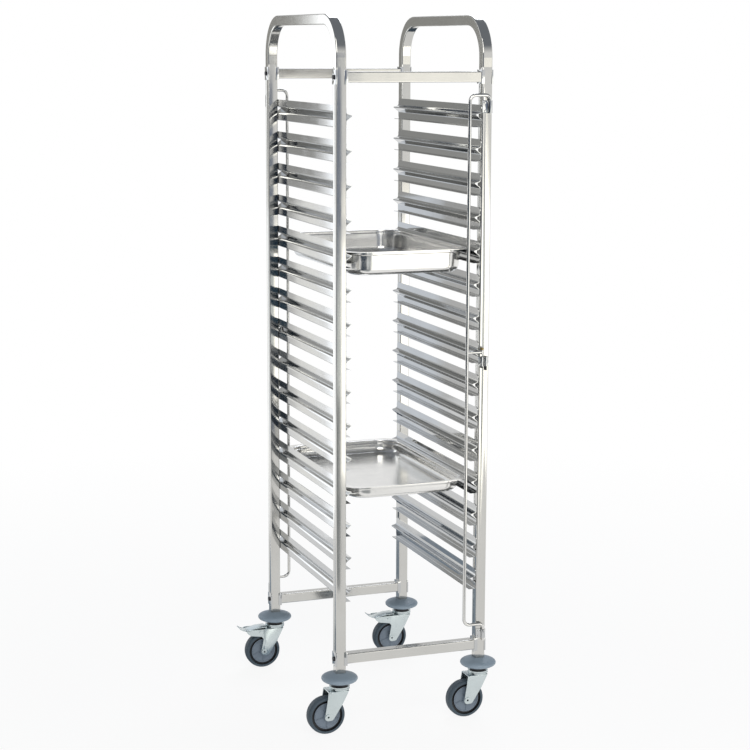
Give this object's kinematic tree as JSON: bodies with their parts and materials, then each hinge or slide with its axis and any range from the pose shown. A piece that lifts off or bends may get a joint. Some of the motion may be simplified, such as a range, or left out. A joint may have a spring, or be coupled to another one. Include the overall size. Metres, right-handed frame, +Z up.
{
  "type": "gastronorm tray trolley",
  "caption": "Tall tube-framed trolley with folded runners that carry gastronorm pans, swinging tray bars, hooped handles and swivel casters under bumper discs.",
  "frame": {"origin": "on the floor, under the middle of the tube frame", "axes": "X is the width with the hinged side of the front tray bar at +X, Y is the depth with the front at -Y, and Z is up"},
  "size_m": [0.5105, 0.6238, 1.722],
  "materials": {
    "stainless_tube": "polished stainless tube with a faint grain along it",
    "stainless_sheet": "bright rolled stainless sheet",
    "stainless_pan": "satin pressed stainless",
    "stainless_rod": "polished stainless rod",
    "knob_brass": "dull turned brass",
    "bolt_steel": "blackened steel",
    "latch_pin_plastic": "black plastic",
    "bumper_plastic": "blue-grey moulded bumper",
    "caster_seal_plastic": "black plastic dust seal",
    "caster_zinc": "bright zinc plate",
    "wheel_hub_plastic": "blue-grey moulded hub",
    "wheel_tyre_rubber": "dark blue-grey non-marking rubber"
  },
  "bodies": {
    "frame": {"post_front_left": "stainless_tube", "post_front_right": "stainless_tube", "post_rear_left": "stainless_tube", "post_rear_right": "stainless_tube", "handle_arch_left": "stainless_tube", "handle_arch_right": "stainless_tube", "crossbar_front_top": "stainless_tube", "crossbar_front_bottom": "stainless_tube", "crossbar_rear_top": "stainless_tube", "crossbar_rear_bottom": "stainless_tube", "crossbar_shoes": "stainless_sheet", "crossbar_saddles": "stainless_sheet", "crossbar_bolts": "bolt_steel", "runners_tier_01": "stainless_sheet", "runners_tier_02": "stainless_sheet", "runners_tier_03": "stainless_sheet", "runners_tier_04": "stainless_sheet", "runners_tier_05": "stainless_sheet", "runners_tier_06": "stainless_sheet", "runners_tier_07": "stainless_sheet", "runners_tier_08": "stainless_sheet", "runners_tier_09": "stainless_sheet", "runners_tier_10": "stainless_sheet", "runners_tier_11": "stainless_sheet", "runners_tier_12": "stainless_sheet", "runners_tier_13": "stainless_sheet", "runners_tier_14": "stainless_sheet", "runners_tier_15": "stainless_sheet", "bar_hinge_clips": "stainless_sheet", "clip_rivets": "stainless_sheet", "latch_catches": "stainless_sheet", "latch_catch_pins": "latch_pin_plastic", "bumper_discs": "bumper_plastic", "caster_seals": "caster_seal_plastic", "caster_races": "caster_zinc", "caster_stems": "caster_zinc"},
    "front_tray_bar": {"front_bar": "stainless_rod", "front_bar_knob": "knob_brass"},
    "rear_tray_bar": {"rear_bar": "stainless_rod", "rear_bar_knob": "knob_brass"},
    "deep_pan_body": {"deep_pan": "stainless_pan"},
    "shallow_pan_body": {"shallow_pan": "stainless_pan"},
    "caster_front_left": {"caster_fork_front_left": "caster_zinc", "caster_pins_front_left": "caster_zinc"},
    "wheel_front_left": {"wheel_hub_front_left": "wheel_hub_plastic", "wheel_tyre_front_left": "wheel_tyre_rubber"},
    "caster_front_right": {"caster_fork_front_right": "caster_zinc", "caster_pins_front_right": "caster_zinc"},
    "wheel_front_right": {"wheel_hub_front_right": "wheel_hub_plastic", "wheel_tyre_front_right": "wheel_tyre_rubber"},
    "caster_rear_left": {"caster_fork_rear_left": "caster_zinc", "caster_pins_rear_left": "caster_zinc"},
    "wheel_rear_left": {"wheel_hub_rear_left": "wheel_hub_plastic", "wheel_tyre_rear_left": "wheel_tyre_rubber"},
    "pedal_rear_left": {"brake_pedal_rear_left": "caster_zinc"},
    "caster_rear_right": {"caster_fork_rear_right": "caster_zinc", "caster_pins_rear_right": "caster_zinc"},
    "wheel_rear_right": {"wheel_hub_rear_right": "wheel_hub_plastic", "wheel_tyre_rear_right": "wheel_tyre_rubber"},
    "pedal_rear_right": {"brake_pedal_rear_right": "caster_zinc"}
  },
  "joints": [
    {"name": "front_bar_swing", "type": "hinge", "parent": "frame", "child": "front_tray_bar", "pos_m": [0.188, -0.2841, 0.9], "axis": [0, 0, 1], "range_deg": [0, 180]},
    {"name": "rear_bar_swing", "type": "hinge", "parent": "frame", "child": "rear_tray_bar", "pos_m": [-0.188, 0.2841, 0.9], "axis": [0, 0, 1], "range_deg": [0, 180]},
    {"name": "deep_pan_slide", "type": "slide", "parent": "frame", "child": "deep_pan_body", "axis": [0, -1, 0], "range_m": [-0.0145, 0.0145]},
    {"name": "shallow_pan_slide", "type": "slide", "parent": "frame", "child": "shallow_pan_body", "axis": [0, -1, 0], "range_m": [-0.0145, 0.0145]},
    {"name": "front_left_swivel", "type": "hinge", "parent": "frame", "child": "caster_front_left", "pos_m": [-0.1825, -0.2675, 0.109], "axis": [0, 0, 1], "continuous": true},
    {"name": "front_left_wheel_roll", "type": "hinge", "parent": "caster_front_left", "child": "wheel_front_left", "pos_m": [-0.2185, -0.2675, 0.0465], "axis": [0, 1, 0], "continuous": true},
    {"name": "front_right_swivel", "type": "hinge", "parent": "frame", "child": "caster_front_right", "pos_m": [0.1825, -0.2675, 0.109], "axis": [0, 0, 1], "continuous": true},
    {"name": "front_right_wheel_roll", "type": "hinge", "parent": "caster_front_right", "child": "wheel_front_right", "pos_m": [0.1465, -0.2675, 0.0465], "axis": [0, 1, 0], "continuous": true},
    {"name": "rear_left_swivel", "type": "hinge", "parent": "frame", "child": "caster_rear_left", "pos_m": [-0.1825, 0.2675, 0.109], "axis": [0, 0, 1], "continuous": true},
    {"name": "rear_left_wheel_roll", "type": "hinge", "parent": "caster_rear_left", "child": "wheel_rear_left", "pos_m": [-0.2185, 0.2675, 0.0465], "axis": [0, 1, 0], "continuous": true},
    {"name": "rear_left_brake_pedal", "type": "hinge", "parent": "caster_rear_left", "child": "pedal_rear_left", "pos_m": [-0.2275, 0.2675, 0.101], "axis": [0, -1, 0], "range_deg": [0, 8]},
    {"name": "rear_right_swivel", "type": "hinge", "parent": "frame", "child": "caster_rear_right", "pos_m": [0.1825, 0.2675, 0.109], "axis": [0, 0, 1], "continuous": true},
    {"name": "rear_right_wheel_roll", "type": "hinge", "parent": "caster_rear_right", "child": "wheel_rear_right", "pos_m": [0.1465, 0.2675, 0.0465], "axis": [0, 1, 0], "continuous": true},
    {"name": "rear_right_brake_pedal", "type": "hinge", "parent": "caster_rear_right", "child": "pedal_rear_right", "pos_m": [0.1375, 0.2675, 0.101], "axis": [0, -1, 0], "range_deg": [0, 8]}
  ]
}
